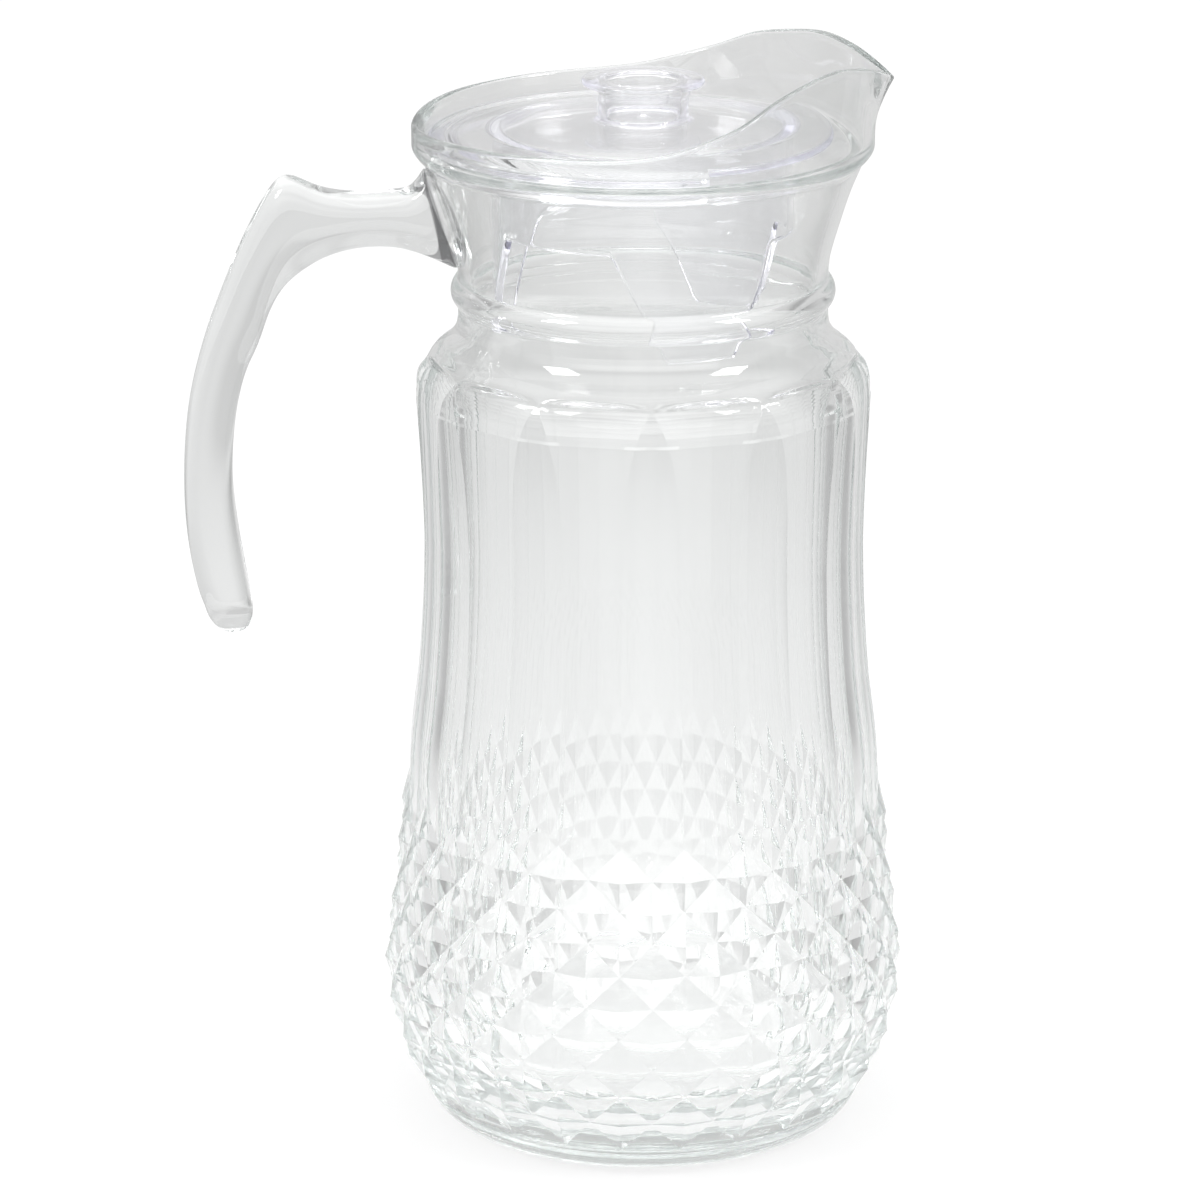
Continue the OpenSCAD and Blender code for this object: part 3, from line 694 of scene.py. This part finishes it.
class Value:
    """A socket that adds, takes away and multiplies as a number does."""

    def __init__(self, maker, socket):
        self.maker = maker
        self.socket = socket

    def work(self, operation, a, b):
        node = self.maker.make("ShaderNodeMath", {"operation": operation}, i0=a, i1=b)
        return Value(self.maker, node.outputs[0])

    def __add__(self, other):
        return self.work("ADD", self, other)

    __radd__ = __add__

    def __mul__(self, other):
        return self.work("MULTIPLY", self, other)

    __rmul__ = __mul__

    def __sub__(self, other):
        return self.work("SUBTRACT", self, other)

    def __rsub__(self, other):
        return self.work("SUBTRACT", other, self)

    def least(self, other):
        return self.work("MINIMUM", self, other)

    def most(self, other):
        return self.work("MAXIMUM", self, other)

    def size(self):
        node = self.maker.make("ShaderNodeMath", {"operation": "ABSOLUTE"}, i0=self)
        return Value(self.maker, node.outputs[0])

    def ease(self, low, high, start, end):
        """Goes softly from start, where this is low or less, to end, where it is high or more."""
        node = self.maker.make("ShaderNodeMapRange", {"interpolation_type": "SMOOTHSTEP"},
                               Value=self, From_Min=low, From_Max=high, To_Min=start, To_Max=end)
        return Value(self.maker, node.outputs[0])


def new_material(name):
    material = bpy.data.materials.new(name)
    material.use_nodes = True
    material.node_tree.nodes.clear()
    return material, Maker(material.node_tree)


def painted_joint_shade(maker, place):
    """Painted shade: 1 in the crease where the hot handle was set on the collar, wider towards
    its lower end.
    """
    x, y, z = maker.split(place)
    # The top of the joint and its length, in metres, and the way off it to the outside
    top_x, top_z, length = -0.05465, 0.247, 0.0242
    out_x, out_z = -0.956, -0.294
    along = (top_z - z) * (1 / length)
    off = (x - top_x) * out_x + (z - top_z) * out_z
    crease = ((off - along * along * 0.0021).ease(0.0003, 0.0007, 1.0, 0.0)
              * off.ease(-0.0012, -0.0006, 0.0, 1.0))
    corner = z.ease(0.2426, 0.244, 0.0, 0.75) * off.ease(0.0034, 0.0046, 1.0, 0.0)
    reach = (y.size().ease(0.0084, 0.0094, 1.0, 0.0) * z.ease(0.22, 0.2207, 0.0, 1.0)
             * x.ease(-0.046, -0.0455, 1.0, 0.0))
    return crease.most(corner) * reach


def clear_glass(name, tint, ior, haze, wave, wave_scale, depth_colour, depth_density,
                shaded_joint=False):
    """Clear, faintly wavy and hazy by patches, and darker where light runs a long way inside."""
    material, maker = new_material(name)
    place = maker.make("ShaderNodeTexCoord").outputs["Object"]
    noise = maker.make("ShaderNodeTexNoise", Vector=place, Scale=wave_scale, Detail=1.5,
                       Roughness=0.4)
    patches = maker.make("ShaderNodeTexNoise", Vector=place, Scale=18.0, Detail=2.0)
    patch = Value(maker, patches.outputs[0])
    colour = maker.make("ShaderNodeMix", {"data_type": "RGBA"}, i0=patch, i6=tint[0], i7=tint[1])
    # Painted shade: the glass colour is darkened in the crease where the handle joins the collar
    if shaded_joint:
        colour = maker.make("ShaderNodeMix", {"data_type": "RGBA"}, i6=colour.outputs[2],
                            i0=painted_joint_shade(maker, place), i7=(0.2, 0.2, 0.205, 1))
    bump = maker.make("ShaderNodeBump", Strength=1.0, Distance=wave, Height=noise.outputs[0])
    shader = maker.make("ShaderNodeBsdfPrincipled", Base_Color=colour.outputs[2],
                        Roughness=(patch - 0.45).most(0) * haze, IOR=ior,
                        Transmission_Weight=1.0, Normal=bump.outputs[0])
    depth = maker.make("ShaderNodeVolumeAbsorption", Color=depth_colour, Density=depth_density)
    maker.make("ShaderNodeOutputMaterial", Surface=shader.outputs[0], Volume=depth.outputs[0])
    return material


# ---- Table, backdrop and light ---------------------------------------------

def seen_directly(maker):
    """1 for what the camera sees straight, for what shows in a gloss, and through glass."""
    path = maker.make("ShaderNodeLightPath")
    return [Value(maker, path.outputs[kind])
            for kind in ("Is Camera Ray", "Is Glossy Ray", "Is Transmission Ray")]


def set_table():
    """Plain white to the camera; in the glass a painted pool of light, brightest before the jug,
    and painted shade, greyer further off.
    """
    air_gap, glow_share = 0.3 * MM, 0.78
    bpy.ops.object.select_all(action="DESELECT")
    bpy.ops.mesh.primitive_plane_add(size=8, location=(0, 0, -air_gap))
    table = bpy.context.object
    table.name = "table"
    material, maker = new_material("white table")
    camera, glossy, through = seen_directly(maker)
    shown = (camera + glossy + through).least(1)
    place = maker.make("ShaderNodeTexCoord").outputs["Object"]
    x, y, _ = maker.split(place)
    side, reach, near = x.size(), maker.distance(place), maker.distance(place, (0, -0.06, 0))
    # Metres on the table, then levels of painted light and shade: a painted pool of light before
    # the jug's axis, painted shade far off, at the sides and in a patch at the back left, and
    # brighter painted light again towards the photographer
    pool = near.ease(0.06, 0.105, 1.15, 1.05) - near.ease(0.105, 0.22, 0.0, 0.12)
    far = reach.ease(0.17, 0.28, 0.0, 0.15) + reach.ease(0.3, 0.75, 0.0, 0.2)
    edge = (side.ease(0.1, 0.45, 0.0, 0.42) * y.ease(0.36, 0.58, 1.0, 0.04)
            * y.ease(0.1, 0.3, 0.3, 1.0))
    shade = x.ease(-0.18, -0.1, 1.0, 0.0) * y.ease(0.6, 0.74, 0.0, 0.13)
    front = y.ease(-0.1, -0.25, 0.0, 0.5) * side.ease(0.12, 0.4, 1.0, 0.1)
    level = pool - far - edge - shade + front
    level = level * (1 - camera) + camera
    diffuse = maker.make("ShaderNodeBsdfDiffuse", Color=(0.86, 0.86, 0.86, 1))
    glow = maker.make("ShaderNodeEmission", Color=(1, 1, 1, 1), Strength=level)
    mix = maker.make("ShaderNodeMixShader", i0=shown * glow_share, i1=diffuse.outputs[0],
                     i2=glow.outputs[0])
    maker.make("ShaderNodeOutputMaterial", Surface=mix.outputs[0])
    table.data.materials.append(material)


def set_world():
    """Plain white to the camera; in the glass a grey wall, a bright ceiling and a lit front."""
    world = bpy.data.worlds.new("studio")
    bpy.context.scene.world = world
    world.use_nodes = True
    world.node_tree.nodes.clear()
    maker = Maker(world.node_tree)
    camera = seen_directly(maker)[0]
    x, y, z = maker.split(maker.make("ShaderNodeTexCoord").outputs["Generated"])
    # Parts of the unit vector towards the sky, then levels
    behind = y.ease(0.3, 0.95, 0.36, 0.71)
    ceiling = z.ease(0.55, 0.85, 0.0, 1.35)
    front = (y.ease(-0.1, -0.45, 0.0, 1.9) * z.ease(0.62, 0.3, 0.0, 1.0)
             * x.size().ease(0.5, 0.85, 1.0, 0.4))
    level = behind + ceiling + front
    level = level * (1 - camera) + camera
    ground = maker.make("ShaderNodeBackground", Color=(1, 1, 1, 1), Strength=level)
    maker.make("ShaderNodeOutputWorld", Surface=ground.outputs[0])


def add_lamp(name, place, aim, size, power):
    bpy.ops.object.select_all(action="DESELECT")
    way = Vector(aim) - Vector(place)
    bpy.ops.object.light_add(type="AREA", location=place,
                             rotation=way.to_track_quat("-Z", "Y").to_euler())
    lamp = bpy.context.object
    lamp.name = name
    lamp.data.shape = "RECTANGLE"
    lamp.data.size, lamp.data.size_y = size
    lamp.data.energy = power


# ---- Making the pieces -----------------------------------------------------

def make_jug():
    rings, first, last = outer_rings()
    jug = lay_rings("pressed_jug", rings + lip_rings() + inner_rings())
    split_cells(jug, first, last)
    close_shell(jug)
    low, high = (BULB_Z - 0.02) * MM, (LANCET_Z + 0.5) * MM
    least_r, skin, least_angle = 53.0 * MM, 2.4, math.radians(4)

    def on_pattern(edge, angle):
        a, b = (jug.data.vertices[i].co for i in edge.vertices)
        middle = (a + b) / 2
        return (low < min(a.z, b.z) and max(a.z, b.z) < high and angle > least_angle
                and math.hypot(middle.x, middle.y) > least_r and on_outside(middle))

    def on_outside(p):
        z = p.z / MM
        if z < WAIST_Z:
            outer = bulb_radius((z - BULB_Z) / (WAIST_Z - BULB_Z))
        elif z < SHOULDER_Z:
            outer = waist_radius((z - WAIST_Z) / (SHOULDER_Z - WAIST_Z))
        else:
            outer = shoulder_radius((z - SHOULDER_Z) / (NECK_Z - SHOULDER_Z))
        return math.hypot(p.x, p.y) / MM > outer - skin

    soften_edges(jug, on_pattern, width=0.6, segments=2)
    return jug


def make_ringed(name, rings):
    piece = lay_rings(name, rings)
    close_shell(piece)
    return piece


set_camera()
jug = make_jug()
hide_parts("jug_body")
glass = clear_glass("pressed glass", tint=((0.985, 0.988, 0.987, 1), (0.975, 0.982, 0.979, 1)),
                    ior=1.52, haze=0.12, wave=0.0001, wave_scale=40,
                    depth_colour=(0.70, 0.73, 0.722, 1), depth_density=9.0, shaded_joint=True)
lid_plastic = clear_glass("clear lid plastic",
                          tint=((0.985, 0.985, 0.992, 1), (0.98, 0.98, 0.988, 1)),
                          ior=1.49, haze=0.2, wave=0.00003, wave_scale=60,
                          depth_colour=(0.8, 0.795, 0.9, 1), depth_density=10.0)
jug.data.materials.append(glass)
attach(jug, "jug")
handle = make_ringed("drawn_handle", handle_rings())
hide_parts("handle")
handle.data.materials.append(glass)
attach(handle, "jug")
lid = make_ringed("moulded_lid", lid_rings())
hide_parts("lid")
lid.data.materials.append(lid_plastic)
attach(lid, "lid")

set_table()
set_world()
for name, x in (("window left", -1.3), ("window right", 1.3)):
    add_lamp(name, place=(x, -0.75, 1.35), aim=(0, 0, 0.15), size=(0.5, 0.7), power=14)
scene = bpy.context.scene
scene.view_settings.view_transform = "Standard"
# Light crosses the glass many times between the points of the bulb
bounces = 64
scene.cycles.max_bounces = bounces
scene.cycles.transmission_bounces = bounces
scene.cycles.glossy_bounces = bounces
